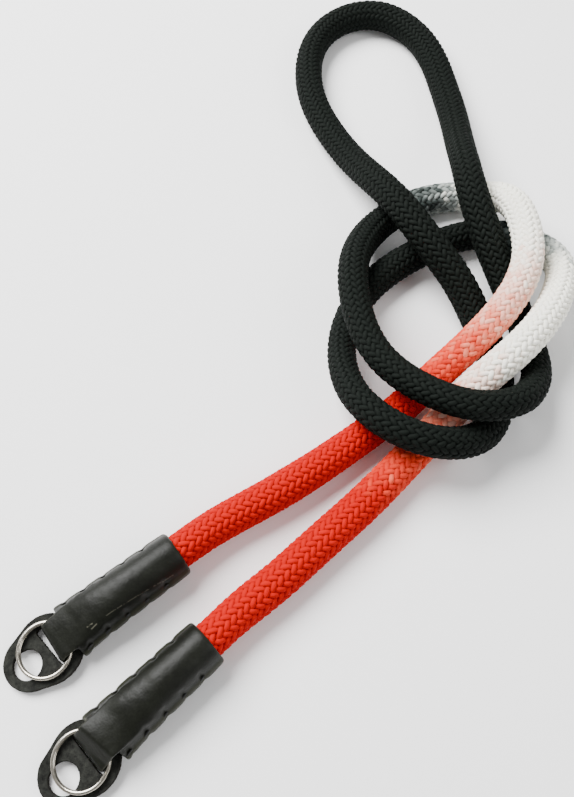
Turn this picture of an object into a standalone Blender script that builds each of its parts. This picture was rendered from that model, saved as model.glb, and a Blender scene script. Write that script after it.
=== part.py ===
"""Braided camera neck strap, tied in one loose overhand knot and lying on a table.

One rope runs from a leather sleeve, through the knot and the long middle loop,
to a second sleeve. Each sleeve is a leather strip folded round the rope's end.
Its narrow tab goes round a split ring and through the slot of a leather lug pad.
Lengths are in metres, with +Z up and the table at z = 0.
"""
import math

import bmesh
import bpy
import numpy as np

MM = 0.001

# Rope
ROPE_DIAMETER = 9.5 * MM
ROPE_SPANS = 82
ROPE_INSERT = 16.0 * MM
BEND_FLOOR = 4.0
SAMPLES_PER_SPAN = 16
MOUTH_STRAIGHT = 1.5 * MM
MOUTH_RUN = 9.0 * MM
MOUTH_DROOP = 0.9 * MM
MOUTH_SWING = 0.2 * MM

# Leather sleeve, measured from its uncut mouth
LEATHER = 1.2 * MM
GAP = 0.3 * MM
SLEEVE_LENGTH = 31.0 * MM
SHOULDER_WIDTH = 15.4 * MM
TAB_LENGTH = 6.0 * MM
TAB_INSET = 0.1 * MM
TAB_OVERLAP = 2.0 * MM
STITCHED_END = 3.2 * MM

# Lug pad, a flat plate of thick leather whose tip rests on the table
PAD_THICKNESS = 1.4 * MM
PAD_ROOT_RADIUS = 8.5 * MM
PAD_TIP_RADIUS = 6.9 * MM
PAD_ROOT_BEYOND_FOLD = 0.8 * MM
PAD_LENGTH = 18.2 * MM
LUG_HOLE_DIAMETER = 7.2 * MM
HOLE_SIDES = 24
LUG_HOLE_BEYOND_FOLD = 6.9 * MM
SLOT_OPEN = 1.4 * MM
SLOT_PLAY = 0.5 * MM
PAD_EDGE = 0.3 * MM

# Split ring of two flat turns
RING_OUTER_DIAMETER = 14.0 * MM
RING_WIRE_WIDTH = 1.1 * MM
RING_HEIGHT = 1.5 * MM
RING_GROOVE = 0.22 * MM
RING_BEYOND_FOLD = 1.5 * MM
RING_TAB_PLAY = 0.15 * MM
RING_STEPS = 40

# Where each sleeve's mouth lies, which way its pad points, and how much shorter it is cut
END_PLACES = {
    # end: (mouth x, mouth y, direction of the pad in degrees, leather trimmed at the mouth)
    "1": (14.1 * MM, 26.2 * MM, -142.9, 0.0),
    "2": (22.7 * MM, 4.6 * MM, -137.0, 0.5 * MM),
}

# The rope's route between the two mouths, in millimetres
ROPE_ROUTE = [
    # from sleeve 1 up to the knot
    (35.6, 40.6, 4.9), (48.1, 48.6, 4.9), (60.4, 57.5, 4.9), (71.9, 66.5, 5),
    # over both legs of the middle loop and round the top of the knot
    (82.9, 76, 7.8), (93.4, 84, 14), (102.9, 94, 17.3), (109.4, 106.5, 18), (110.9, 121, 17),
    (108.4, 134.5, 12.5), (99.9, 141.5, 5.8), (85.4, 140.5, 4.9), (72.4, 133, 5), (64.4, 121, 9.4),
    # down the left side and over the arms
    (60.4, 107, 14.7), (60.9, 92, 16.2), (65.9, 77.5, 16.9), (76.4, 66.5, 18.4), (89.9, 61, 19),
    (103.4, 65, 15), (110.4, 77, 8.7), (109.9, 92, 5.7), (105.9, 106, 7.7),
    # out of the knot and round the middle loop
    (100.9, 119, 13), (97.4, 132, 16.5), (96.4, 146, 15.4), (96.9, 160, 10.3), (96.9, 175.5, 6.7),
    (95.4, 191, 5), (92.4, 206, 4.9), (85.9, 219, 5.1), (73.9, 226.5, 5.7), (60.4, 223.5, 5.3),
    (51.4, 212, 4.9), (48.9, 197.5, 4.9), (50.9, 182.5, 4.9), (56.4, 168, 5.3), (62.9, 154, 8),
    # back through the knot to its lower edge
    (68.9, 141, 13.1), (75.4, 128.5, 16.4), (82.9, 116.5, 14.9), (91.4, 105.5, 9.9), (97.4, 92.5, 5.5),
    (100.4, 78, 4.9), (97.9, 63.5, 5.8), (88.4, 54, 11.7), (74.4, 53.5, 16.1),
    # up the left side, under the first turn, and across the top
    (62.4, 62, 15.2), (57.4, 74.5, 10.2), (57.4, 89, 6), (62.9, 103, 4.9), (72.9, 114, 4.9),
    (85.4, 122, 4.9), (99.4, 127, 4.9), (113.4, 124.5, 5.5), (121.4, 114, 9.1),
    # down the right side, over both legs, and out to sleeve 2
    (118.9, 100.5, 13.4), (111.4, 87.5, 16.8), (101.4, 77, 16.6), (90.4, 68.5, 11.6), (80.9, 59.5, 5.3),
    (70.9, 49, 4.9), (60.4, 38.5, 4.9), (49.4, 28.5, 4.9), (38.1, 18.3, 4.9),
]

# Sleeve sections between the rope's end and the shoulder
SLEEVE_SECTIONS = [
    # (share of the way, share of the widening, share of the flattening, squareness)
    (0.00, 0.15, 0.00, 2.0),
    (0.25, 0.30, 0.18, 2.3),
    (0.50, 0.55, 0.48, 2.8),
    (0.78, 0.85, 0.84, 3.4),
    (1.00, 1.00, 1.00, 4.0),
]
SECTION_POINTS = 28

# What follows from the sizes above
ROPE_RADIUS = ROPE_DIAMETER / 2
BORE_RADIUS = ROPE_RADIUS + GAP
MOUTH_SIZE = 2 * (BORE_RADIUS + LEATHER)
ROPE_AXIS = MOUTH_SIZE / 2
FOLD = SLEEVE_LENGTH + TAB_LENGTH
PAD_REAR = SLEEVE_LENGTH + GAP + TAB_INSET
PAD_TIP = PAD_REAR + PAD_LENGTH
SLOT_REAR = FOLD - LEATHER - SLOT_PLAY
PAD_RISE = TAB_INSET + LEATHER + GAP
PAD_TILT = math.atan(PAD_RISE / (PAD_TIP - SLOT_REAR))
RING_CENTRE = FOLD + RING_BEYOND_FOLD
RING_BORE_RADIUS = RING_OUTER_DIAMETER / 2 - RING_WIRE_WIDTH

# The tab is as wide as the ring's bore lets through at the fold, less a little play
RING_TO_FOLD = RING_BEYOND_FOLD + LEATHER
TAB_WIDTH = 2 * (math.sqrt(RING_BORE_RADIUS ** 2 - RING_TO_FOLD ** 2) - RING_TAB_PLAY)


def plate_height(along, above):
    """Height of a point over the tilted plate's underside, at a distance from the uncut mouth."""
    return (PAD_TIP - along) * math.tan(PAD_TILT) + above / math.cos(PAD_TILT)


RING_BASE = PAD_THICKNESS + GAP
POCKET_REAR = SLEEVE_LENGTH + TAB_INSET


def tab_roof(along):
    """The underside of the tab's upper layer, just clear of the ring."""
    return plate_height(along, RING_BASE + RING_HEIGHT + GAP)


SHOULDER_HEIGHT = tab_roof(POCKET_REAR) + LEATHER + TAB_INSET


def clear_scene():
    for old in list(bpy.data.objects):
        bpy.data.objects.remove(old, do_unlink=True)


def new_collection(name):
    made = bpy.data.collections.new(name)
    bpy.context.scene.collection.children.link(made)
    return made


def new_material(name, colour, roughness, metallic=0.0):
    made = bpy.data.materials.new(name)
    made.use_nodes = True
    shader = made.node_tree.nodes["Principled BSDF"]
    shader.inputs["Base Color"].default_value = (*colour, 1.0)
    shader.inputs["Roughness"].default_value = roughness
    shader.inputs["Metallic"].default_value = metallic
    return made


def add_object(name, data, collection, material=None, parent=None):
    made = bpy.data.objects.new(name, data)
    collection.objects.link(made)
    made.parent = parent
    if material:
        data.materials.append(material)
    return made


def shade_round(mesh, angle=40):
    mesh.shade_smooth()
    mesh.set_sharp_from_angle(angle=math.radians(angle))


def as_mesh_object(source, name, collection, material=None):
    """Turn a curve into a welded mesh object at the same place."""
    graph = bpy.context.evaluated_depsgraph_get()
    mesh = bpy.data.meshes.new_from_object(source.evaluated_get(graph))
    bm = bmesh.new()
    bm.from_mesh(mesh)
    bmesh.ops.remove_doubles(bm, verts=bm.verts, dist=0.00001)
    bmesh.ops.recalc_face_normals(bm, faces=bm.faces)
    bm.to_mesh(mesh)
    bm.free()
    mesh.materials.clear()
    made = add_object(name, mesh, collection, material, source.parent)
    made.matrix_world = source.matrix_world
    bpy.data.objects.remove(source, do_unlink=True)
    return made


def flat_curve(name, outlines, thickness, collection, parent=None):
    """A filled flat curve of closed outlines; the later ones are holes in the first."""
    data = bpy.data.curves.new(name, "CURVE")
    data.dimensions = "2D"
    data.fill_mode = "BOTH"
    data.extrude = thickness / 2
    for outline in outlines:
        spline = data.splines.new("POLY")
        spline.points.add(len(outline) - 1)
        for point, (x, y) in zip(spline.points, outline):
            point.co = (x, y, 0, 1)
        spline.use_cyclic_u = True
    return add_object(name, data, collection, parent=parent)


def arc(centre_x, centre_y, radius, start, stop, steps):
    """Points on an arc, with angles in degrees."""
    points = []
    for step in range(steps + 1):
        angle = math.radians(start + (stop - start) * step / steps)
        points.append((centre_x + radius * math.cos(angle), centre_y + radius * math.sin(angle)))
    return points


def cubic_through(points):
    """A smooth cubic curve through the points, as closely spaced samples."""
    knots = np.array(points, dtype=float)
    spans = np.linalg.norm(np.diff(knots, axis=0), axis=1)
    count = len(knots)
    matrix = np.eye(count)
    right = np.zeros((count, 3))
    for i in range(1, count - 1):
        before, after = spans[i - 1], spans[i]
        matrix[i, i - 1:i + 2] = before, 2 * (before + after), after
        right[i] = 6 * ((knots[i + 1] - knots[i]) / after - (knots[i] - knots[i - 1]) / before)
    bends = np.linalg.solve(matrix, right)
    samples = []
    for i in range(count - 1):
        span = spans[i]
        for share in np.linspace(0, 1, SAMPLES_PER_SPAN, endpoint=False):
            x = share * span
            y = span - x
            cubic = (bends[i] * y ** 3 + bends[i + 1] * x ** 3) / (6 * span)
            near = (knots[i] / span - bends[i] * span / 6) * y
            far = (knots[i + 1] / span - bends[i + 1] * span / 6) * x
            samples.append(cubic + near + far)
    samples.append(knots[-1])
    return np.array(samples)


def closer_where_bent(curve, count):
    """Pick points along a curve, closer together where it bends more."""
    steps = np.diff(curve, axis=0)
    lengths = np.linalg.norm(steps, axis=1)
    ways = steps / lengths[:, None]
    bend = np.linalg.norm(np.diff(ways, axis=0), axis=1) / lengths[1:]
    bend = np.concatenate([bend[:1], bend, bend[-1:]])
    smooth = np.convolve(np.pad(bend, 6, mode="edge"), np.ones(13) / 13, "valid")
    weight = np.sqrt(smooth + BEND_FLOOR)
    along = np.concatenate([[0], np.cumsum((weight[1:] + weight[:-1]) / 2 * lengths)])
    wanted = np.linspace(0, along[-1], count)
    return np.stack([np.interp(wanted, along, curve[:, axis]) for axis in range(3)], axis=1)


def end_point(end, along, height, aside=0.0):
    """A point a distance past a sleeve's mouth, on its axis or to one side of it."""
    x, y, direction, _ = END_PLACES[end]
    angle = math.radians(direction)
    x += along * math.cos(angle) + aside * math.sin(angle)
    y += along * math.sin(angle) - aside * math.cos(angle)
    return (x, y, height)


def rope_route():
    """The route's points, with the ones inside and just outside each mouth from the sleeves."""
    drooping = ROPE_AXIS - MOUTH_DROOP
    first = [
        end_point("1", ROPE_INSERT, ROPE_AXIS), end_point("1", -MOUTH_STRAIGHT, ROPE_AXIS),
        end_point("1", -MOUTH_RUN, drooping, MOUTH_SWING),
    ]
    last = [
        end_point("2", -MOUTH_RUN, drooping, MOUTH_SWING), end_point("2", -MOUTH_STRAIGHT, ROPE_AXIS),
        end_point("2", ROPE_INSERT, ROPE_AXIS),
    ]
    middle = [(x * MM, y * MM, z * MM) for x, y, z in ROPE_ROUTE]
    return first + middle + last


def rope_points():
    """The tube's points: straight inside the sleeves and smooth between them."""
    route = rope_route()
    curve = cubic_through(route)[SAMPLES_PER_SPAN:-SAMPLES_PER_SPAN]
    curve[:, 2] = np.maximum(curve[:, 2], ROPE_RADIUS)
    between = closer_where_bent(curve, ROPE_SPANS)
    return [route[0], *between, route[-1]]


def make_rope(collection, material):
    data = bpy.data.curves.new("rope", "CURVE")
    data.dimensions = "3D"
    data.bevel_depth = ROPE_RADIUS
    data.bevel_resolution = 4
    data.use_fill_caps = True
    points = rope_points()
    spline = data.splines.new("POLY")
    spline.points.add(len(points) - 1)
    for point, place in zip(spline.points, points):
        point.co = (*place, 1)
    return add_object("rope", data, collection, material)


def section_ring(bm, along, width, low, high, squareness):
    """A closed ring of points: a round that turns squarer as squareness grows."""
    ring = []
    power = 2 / squareness
    for step in range(SECTION_POINTS):
        angle = 2 * math.pi * step / SECTION_POINTS
        across = math.copysign(abs(math.cos(angle)) ** power, math.cos(angle))
        upward = math.copysign(abs(math.sin(angle)) ** power, math.sin(angle))
        y = width / 2 * across
        z = (low + high) / 2 + (high - low) / 2 * upward
        ring.append(bm.verts.new((along, y, z)))
    return ring


def skin(bm, first, second):
    for step in range(SECTION_POINTS):
        after = (step + 1) % SECTION_POINTS
        bm.faces.new((first[step], first[after], second[after], second[step]))


def sleeve_shape(share):
    """Width, height and squareness between the rope's end and the shoulder."""
    shares = [row[0] for row in SLEEVE_SECTIONS]
    wider = np.interp(share, shares, [row[1] for row in SLEEVE_SECTIONS])
    flatter = np.interp(share, shares, [row[2] for row in SLEEVE_SECTIONS])
    squareness = np.interp(share, shares, [row[3] for row in SLEEVE_SECTIONS])
    width = MOUTH_SIZE + wider * (SHOULDER_WIDTH - MOUTH_SIZE)
    height = MOUTH_SIZE + flatter * (SHOULDER_HEIGHT - MOUTH_SIZE)
    return width, height, squareness


def make_sleeve(end, collection, material, parent, guides):
    """The stitched tube of leather, round at the mouth and flat at the shoulder, with its tab."""
    bm = bmesh.new()
    mouth = END_PLACES[end][3]
    rope_end = mouth + ROPE_INSERT + GAP
    cavity_end = SLEEVE_LENGTH - STITCHED_END
    outer = [section_ring(bm, mouth, MOUTH_SIZE, 0, MOUTH_SIZE, 2)]
    inner = [section_ring(bm, mouth, 2 * BORE_RADIUS, LEATHER, MOUTH_SIZE - LEATHER, 2)]
    for row in SLEEVE_SECTIONS:
        along = rope_end + row[0] * (SLEEVE_LENGTH - rope_end)
        width, height, squareness = sleeve_shape(row[0])
        outer.append(section_ring(bm, along, width, 0, height, squareness))
        inside = rope_end + row[0] * (cavity_end - rope_end)
        width, height, squareness = sleeve_shape((inside - rope_end) / (SLEEVE_LENGTH - rope_end))
        bore = width - 2 * LEATHER
        inner.append(section_ring(bm, inside, bore, LEATHER, height - LEATHER, squareness))
    for first, second in zip(outer, outer[1:]):
        skin(bm, first, second)
    for first, second in zip(inner, inner[1:]):
        skin(bm, second, first)
    skin(bm, inner[0], outer[0])
    bm.faces.new(outer[-1])
    bm.faces.new(list(reversed(inner[-1])))
    bmesh.ops.recalc_face_normals(bm, faces=bm.faces)
    mesh = bpy.data.meshes.new("sleeve_" + end)
    bm.to_mesh(mesh)
    bm.free()
    shade_round(mesh, 50)
    sleeve = add_object("leather_sleeve_" + end, mesh, collection, material, parent)
    join = sleeve.modifiers.new("tab", "BOOLEAN")
    join.operation = "UNION"
    join.solver = "EXACT"
    join.object = make_tab(end, guides, parent)
    return sleeve


def make_tab(end, guides, parent):
    """The folded tab from the side: a strip that turns down through the pad's slot."""
    rear = SLEEVE_LENGTH - TAB_OVERLAP
    low = TAB_INSET
    inner_fold = FOLD - LEATHER
    corner = 0.3 * LEATHER
    shoulder_top = tab_roof(POCKET_REAR) + LEATHER
    crest = tab_roof(inner_fold) + LEATHER
    strip = [
        (rear, low), (inner_fold, low), (FOLD - corner, low + corner), (FOLD, low + LEATHER),
        (FOLD, crest - LEATHER), (FOLD - corner, crest - corner), (inner_fold, crest),
        (POCKET_REAR, shoulder_top), (rear, shoulder_top),
    ]
    pocket = [
        (POCKET_REAR, low + LEATHER), (inner_fold, low + LEATHER),
        (inner_fold, tab_roof(inner_fold)), (POCKET_REAR, tab_roof(POCKET_REAR)),
    ]
    curve = flat_curve("tab_curve", [strip, pocket], TAB_WIDTH, guides, parent)
    curve.rotation_euler = (math.radians(90), 0, 0)
    bpy.context.view_layer.update()
    tab = as_mesh_object(curve, "tab_guide_" + end, guides)
    tab.hide_render = True
    tab.display_type = "WIRE"
    return tab


def on_plate(along):
    """The plate's own coordinate, from its tip, of a distance from the uncut mouth."""
    return (along - PAD_TIP) / math.cos(PAD_TILT)


def pad_outline():
    """Egg shape of two arcs and their tangents, cut straight at the rear."""
    root = on_plate(FOLD + PAD_ROOT_BEYOND_FOLD)
    tip = -PAD_TIP_RADIUS
    lean = math.degrees(math.asin((PAD_ROOT_RADIUS - PAD_TIP_RADIUS) / (tip - root)))
    cut = 180 - math.degrees(math.acos((root - on_plate(PAD_REAR)) / PAD_ROOT_RADIUS))
    outline = arc(root, 0, PAD_ROOT_RADIUS, cut, 90 - lean, 8)
    outline += arc(tip, 0, PAD_TIP_RADIUS, 90 - lean, lean - 90, 20)
    outline += arc(root, 0, PAD_ROOT_RADIUS, lean - 90, -cut, 8)
    return outline


def slot_outline():
    """The slot that the tab passes through, with rounded corners."""
    rear = on_plate(SLOT_REAR)
    front = on_plate(FOLD + SLOT_OPEN)
    half = TAB_WIDTH / 2 + GAP
    corner = 0.35 * (front - rear)
    outline = []
    for x, y, start in (
        (front - corner, half - corner, 0), (rear + corner, half - corner, 90),
        (rear + corner, corner - half, 180), (front - corner, corner - half, 270),
    ):
        outline += arc(x, y, corner, start, start + 90, 3)
    return outline


def make_pad(end, collection, material, plate):
    last_corner = 360 - 360 / HOLE_SIDES
    hole_centre = on_plate(FOLD + LUG_HOLE_BEYOND_FOLD)
    hole = arc(hole_centre, 0, LUG_HOLE_DIAMETER / 2, 0, last_corner, HOLE_SIDES - 1)
    outlines = [pad_outline(), slot_outline(), hole]
    curve = flat_curve("pad_curve", outlines, PAD_THICKNESS, collection, plate)
    curve.location = (0, 0, PAD_THICKNESS / 2)
    bpy.context.view_layer.update()
    pad = as_mesh_object(curve, "lug_pad_" + end, collection, material)
    shade_round(pad.data)
    edge = pad.modifiers.new("edge", "BEVEL")
    edge.width = PAD_EDGE
    edge.segments = 2
    edge.limit_method = "ANGLE"
    edge.angle_limit = math.radians(60)
    return pad


def make_ring(end, collection, material, plate):
    """A split ring as one turned ring, with a groove where its two turns meet."""
    outer = RING_OUTER_DIAMETER / 2
    inner = RING_BORE_RADIUS
    middle = RING_HEIGHT / 2
    groove = RING_GROOVE
    corner = 0.25 * RING_WIRE_WIDTH
    profile = [
        (outer - corner, RING_HEIGHT), (outer, RING_HEIGHT - corner), (outer, middle + groove),
        (outer - groove, middle), (outer, middle - groove), (outer, corner), (outer - corner, 0),
        (inner + corner, 0), (inner, corner), (inner, middle - groove), (inner + groove, middle),
        (inner, middle + groove), (inner, RING_HEIGHT - corner), (inner + corner, RING_HEIGHT),
    ]
    mesh = bpy.data.meshes.new("split_ring_" + end)
    edges = [(i, (i + 1) % len(profile)) for i in range(len(profile))]
    mesh.from_pydata([(r, 0, z) for r, z in profile], edges, [])
    ring = add_object("split_ring_" + end, mesh, collection, material, plate)
    ring.location = (on_plate(RING_CENTRE), 0, RING_BASE)
    turn = ring.modifiers.new("turn", "SCREW")
    turn.steps = RING_STEPS
    turn.render_steps = RING_STEPS
    turn.use_merge_vertices = True
    turn.merge_threshold = 0.00001
    turn.use_smooth_shade = True
    return ring


def make_end(end, collection, guides, looks):
    """One leather end on an empty at its uncut mouth, with +X pointing along the sleeve."""
    direction, trimmed = END_PLACES[end][2:]
    uncut = add_object("end_" + end, None, guides)
    uncut.location = end_point(end, -trimmed, 0)
    uncut.rotation_euler = (0, 0, math.radians(direction))
    plate = add_object("plate_" + end, None, guides, parent=uncut)
    plate.location = (PAD_TIP, 0, 0)
    plate.rotation_euler = (0, PAD_TILT, 0)
    make_sleeve(end, collection, looks["leather"], uncut, guides)
    make_pad(end, collection, looks["pad_leather"], plate)
    make_ring(end, collection, looks["ring_steel"], plate)


def main():
    clear_scene()
    strap = new_collection("camera_neck_strap")
    guides = new_collection("guides")
    looks = {
        "rope": new_material("rope", (0.05, 0.06, 0.055), 0.8),
        "leather": new_material("leather", (0.02, 0.022, 0.02), 0.45),
        "pad_leather": new_material("pad_leather", (0.05, 0.045, 0.04), 0.85),
        "ring_steel": new_material("ring_steel", (0.7, 0.68, 0.65), 0.3, 1.0),
    }
    make_rope(strap, looks["rope"])
    for end in END_PLACES:
        make_end(end, strap, guides, looks)


main()
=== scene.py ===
# %% [markdown]
# # A braided rope camera strap, tied in a loose knot
#
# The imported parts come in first, as a fixed frame with one place for everything.
# The leather ends, rings and pads keep those places, and this file gives them
# their real surfaces. The rope is braided here from its single strands.

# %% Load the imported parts
import math

import bmesh
import bpy
import numpy as np
from mathutils import Matrix, Vector, noise


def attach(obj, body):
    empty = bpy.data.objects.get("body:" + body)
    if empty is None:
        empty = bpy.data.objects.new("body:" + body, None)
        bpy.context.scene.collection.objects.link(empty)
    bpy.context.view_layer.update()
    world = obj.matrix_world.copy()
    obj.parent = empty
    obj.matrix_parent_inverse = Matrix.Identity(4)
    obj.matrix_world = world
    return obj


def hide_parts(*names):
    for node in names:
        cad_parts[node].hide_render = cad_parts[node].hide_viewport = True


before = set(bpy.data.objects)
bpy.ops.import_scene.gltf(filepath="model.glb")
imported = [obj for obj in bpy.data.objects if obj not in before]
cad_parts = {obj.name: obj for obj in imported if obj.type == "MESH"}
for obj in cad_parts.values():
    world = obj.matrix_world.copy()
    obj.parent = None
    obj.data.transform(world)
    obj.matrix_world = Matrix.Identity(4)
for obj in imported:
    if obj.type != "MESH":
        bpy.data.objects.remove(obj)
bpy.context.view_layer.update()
MM = 0.001

# %% [markdown]
# ## Camera
#
# The photo looks down at the table from the front, at 63 degrees. The strap's
# ends are nearest, and the loop runs away from the lens. A real lens stands
# about 23 cm off, so the near rope looks wider than the far rope. A camera
# with a matching focal length gives that same narrowing.

# %% Place the camera
CAMERA_PLACE = Vector((41.4 * MM, -30.6 * MM, 202.5 * MM))
CAMERA_ELEVATION = 63.0
PHOTO_HEIGHT = 797
FOCAL_PIXELS = 800
SENSOR_WIDTH = 36.0
NEAREST_SEEN = 10 * MM

camera_data = bpy.data.cameras.new("photo_camera")
camera_data.sensor_width = SENSOR_WIDTH
camera_data.lens = SENSOR_WIDTH * FOCAL_PIXELS / PHOTO_HEIGHT
camera_data.clip_start = NEAREST_SEEN
camera = bpy.data.objects.new("photo_camera", camera_data)
camera.location = CAMERA_PLACE
camera.rotation_euler = (math.radians(90 - CAMERA_ELEVATION), 0, 0)
bpy.context.scene.collection.objects.link(camera)
bpy.context.scene.camera = camera
print("camera lens", round(camera_data.lens, 2), "mm")

# %% [markdown]
# ## The rope's route
#
# The rope is one length of braid. It leaves the first leather end, makes an
# overhand knot with itself, runs round the long middle loop and comes back
# through the knot to the second end. A short list of points gives the way,
# and a smooth cubic curve goes through them.

# %% Route points and the smooth curve
ROPE_DIAMETER = 9.5 * MM
ROPE_INSERT = 16.0 * MM
MOUTH_STRAIGHT = 1.5 * MM
MOUTH_RUN = 9.0 * MM
MOUTH_DROOP = 0.9 * MM
MOUTH_SWING = 0.2 * MM
ROPE_AXIS = 6.25 * MM
SAMPLES_PER_SPAN = 16

END_PLACES = {
    # end: (mouth x, mouth y, direction of the pad in degrees, leather trimmed at the mouth)
    "1": (14.1 * MM, 26.2 * MM, -142.9, 0.0),
    "2": (22.7 * MM, 4.6 * MM, -137.0, 0.5 * MM),
}

ROPE_ROUTE = [
    # from sleeve 1 up to the knot, in millimetres
    (35.6, 40.6, 4.9), (48.1, 48.6, 4.9), (60.4, 57.5, 4.9), (71.9, 66.5, 5),
    # over both legs of the middle loop and round the top of the knot
    (82.9, 76, 7.8), (93.4, 84, 14), (102.9, 94, 17.3), (109.4, 106.5, 18), (110.9, 121, 17),
    (108.4, 134.5, 12.5), (99.9, 141.5, 5.8), (85.4, 140.5, 4.9), (72.4, 133, 5), (64.4, 121, 9.4),
    # down the left side and over the arms
    (60.4, 107, 14.7), (60.9, 92, 16.2), (65.9, 77.5, 16.9), (76.4, 66.5, 18.4), (89.9, 61, 19),
    (103.4, 65, 15), (110.4, 77, 8.7), (109.9, 92, 5.7), (105.9, 106, 7.7),
    # out of the knot and round the middle loop
    (100.9, 119, 13), (97.4, 132, 16.5), (96.4, 146, 15.4), (96.9, 160, 10.3), (96.9, 175.5, 6.7),
    (95.4, 191, 5), (92.4, 206, 4.9), (85.9, 219, 5.1), (73.9, 226.5, 5.7), (60.4, 223.5, 5.3),
    (51.4, 212, 4.9), (48.9, 197.5, 4.9), (50.9, 182.5, 4.9), (56.4, 168, 5.3), (62.9, 154, 8),
    # back through the knot to its lower edge
    (68.9, 141, 13.1), (75.4, 128.5, 16.4), (82.9, 116.5, 14.9), (91.4, 105.5, 9.9), (97.4, 92.5, 5.5),
    (100.4, 78, 4.9), (97.9, 63.5, 5.8), (88.4, 54, 11.7), (74.4, 53.5, 16.1),
    # up the left side, under the first turn, and across the top
    (62.4, 62, 15.2), (57.4, 74.5, 10.2), (57.4, 89, 6), (62.9, 103, 4.9), (72.9, 114, 4.9),
    (85.4, 122, 4.9), (99.4, 127, 4.9), (113.4, 124.5, 5.5), (121.4, 114, 9.1),
    # down the right side, over both legs, and out to sleeve 2
    (118.9, 100.5, 13.4), (111.4, 87.5, 16.8), (101.4, 77, 16.6), (90.4, 68.5, 11.6), (80.9, 59.5, 5.3),
    (70.9, 49, 4.9), (60.4, 38.5, 4.9), (49.4, 28.5, 4.9), (38.1, 18.3, 4.9),
]


def end_point(end, along, height, aside=0.0):
    """A point a distance past a leather end's mouth, on its axis or to one side of it."""
    x, y, direction, _ = END_PLACES[end]
    angle = math.radians(direction)
    x += along * math.cos(angle) + aside * math.sin(angle)
    y += along * math.sin(angle) - aside * math.cos(angle)
    return (x, y, height)


def cubic_through(points):
    """A smooth cubic curve through the points, as closely spaced samples."""
    knots = np.array(points, dtype=float)
    spans = np.linalg.norm(np.diff(knots, axis=0), axis=1)
    count = len(knots)
    matrix = np.eye(count)
    right = np.zeros((count, 3))
    for i in range(1, count - 1):
        before, after = spans[i - 1], spans[i]
        matrix[i, i - 1:i + 2] = before, 2 * (before + after), after
        right[i] = 6 * ((knots[i + 1] - knots[i]) / after - (knots[i] - knots[i - 1]) / before)
    bends = np.linalg.solve(matrix, right)
    samples = []
    for i in range(count - 1):
        span = spans[i]
        for share in np.linspace(0, 1, SAMPLES_PER_SPAN, endpoint=False):
            x = share * span
            y = span - x
            cubic = (bends[i] * y ** 3 + bends[i + 1] * x ** 3) / (6 * span)
            near = (knots[i] / span - bends[i] * span / 6) * y
            far = (knots[i + 1] / span - bends[i + 1] * span / 6) * x
            samples.append(cubic + near + far)
    samples.append(knots[-1])
    return np.array(samples)


def rope_curve():
    """The whole centreline: straight inside the leather ends, smooth between them."""
    drooping = ROPE_AXIS - MOUTH_DROOP
    first = [
        end_point("1", ROPE_INSERT, ROPE_AXIS), end_point("1", -MOUTH_STRAIGHT, ROPE_AXIS),
        end_point("1", -MOUTH_RUN, drooping, MOUTH_SWING),
    ]
    last = [
        end_point("2", -MOUTH_RUN, drooping, MOUTH_SWING), end_point("2", -MOUTH_STRAIGHT, ROPE_AXIS),
        end_point("2", ROPE_INSERT, ROPE_AXIS),
    ]
    route = first + [(x * MM, y * MM, z * MM) for x, y, z in ROPE_ROUTE] + last
    curve = cubic_through(route)[SAMPLES_PER_SPAN:-SAMPLES_PER_SPAN]
    curve[:, 2] = np.maximum(curve[:, 2], ROPE_DIAMETER / 2)
    return np.vstack([route[0], curve, route[-1]])


def evenly(curve, step):
    """The same line with points a fixed step apart, and the distance of each along it."""
    lengths = np.linalg.norm(np.diff(curve, axis=0), axis=1)
    reached = np.concatenate([[0], np.cumsum(lengths)])
    count = int(round(reached[-1] / step)) + 1
    wanted = np.linspace(0, reached[-1], count)
    points = np.stack([np.interp(wanted, reached, curve[:, axis]) for axis in range(3)], axis=1)
    return points, wanted


CENTRE_STEP = 0.5 * MM
centreline, centre_along = evenly(rope_curve(), CENTRE_STEP)
ROPE_LENGTH = float(centre_along[-1])
print("rope length", round(ROPE_LENGTH / MM), "mm")

# %% [markdown]
# ## A frame that runs along the rope
#
# Each strand winds round the rope, so it needs to know which way is out at
# every place. A frame that never twists by itself is carried along the
# centreline from its first point: at each step it is turned only as much as
# the line itself turns. The strands then keep an even pitch through the bends.

# %% Carry a frame along the centreline


def carried_frames(points):
    """Unit directions along the line and two across it, without twist."""
    along = np.gradient(points, axis=0)
    along /= np.linalg.norm(along, axis=1)[:, None]
    side = np.zeros_like(points)
    start = np.cross(along[0], (0, 0, 1))
    side[0] = start / np.linalg.norm(start)
    for i in range(1, len(points)):
        flat = side[i - 1] - along[i] * np.dot(side[i - 1], along[i])
        side[i] = flat / np.linalg.norm(flat)
    return along, side, np.cross(along, side)


_, centre_side, centre_up = carried_frames(centreline)
print("frames", len(centreline))

# %% [markdown]
# ## How full the rope is
#
# Where it lies straight the braid is plump. Round a tight bend it is drawn
# thinner, as the photo shows in the coils. A few rows give the outer radius
# against the distance along the rope, and the places between are blended.
# A plump stretch on the table is lifted a little, so that it doesn't sink in.

# %% Radius along the rope
FULLNESS = [
    # (distance from the first end in millimetres, outer radius in millimetres)
    (0, 4.6), (17, 4.65), (30, 4.85), (50, 5.0), (70, 4.75), (125, 4.6), (200, 4.7), (225, 4.95), (240, 4.65),
    (280, 4.2), (330, 4.15), (360, 4.45), (385, 4.9), (415, 4.65), (450, 4.95), (500, 5.05),
    (540, 4.8), (600, 4.75), (655, 4.85), (700, 4.5), (750, 4.3), (768, 4.15), (800, 4.75),
    (860, 4.6), (930, 4.8), (960, 5.0), (1000, 5.0), (1011, 4.65), (1028, 4.6),
]


def outer_radius(distance):
    """The rope's outer radius at a distance along it."""
    rows = np.array(FULLNESS)
    return np.interp(distance / MM, rows[:, 0], rows[:, 1]) * MM


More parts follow.
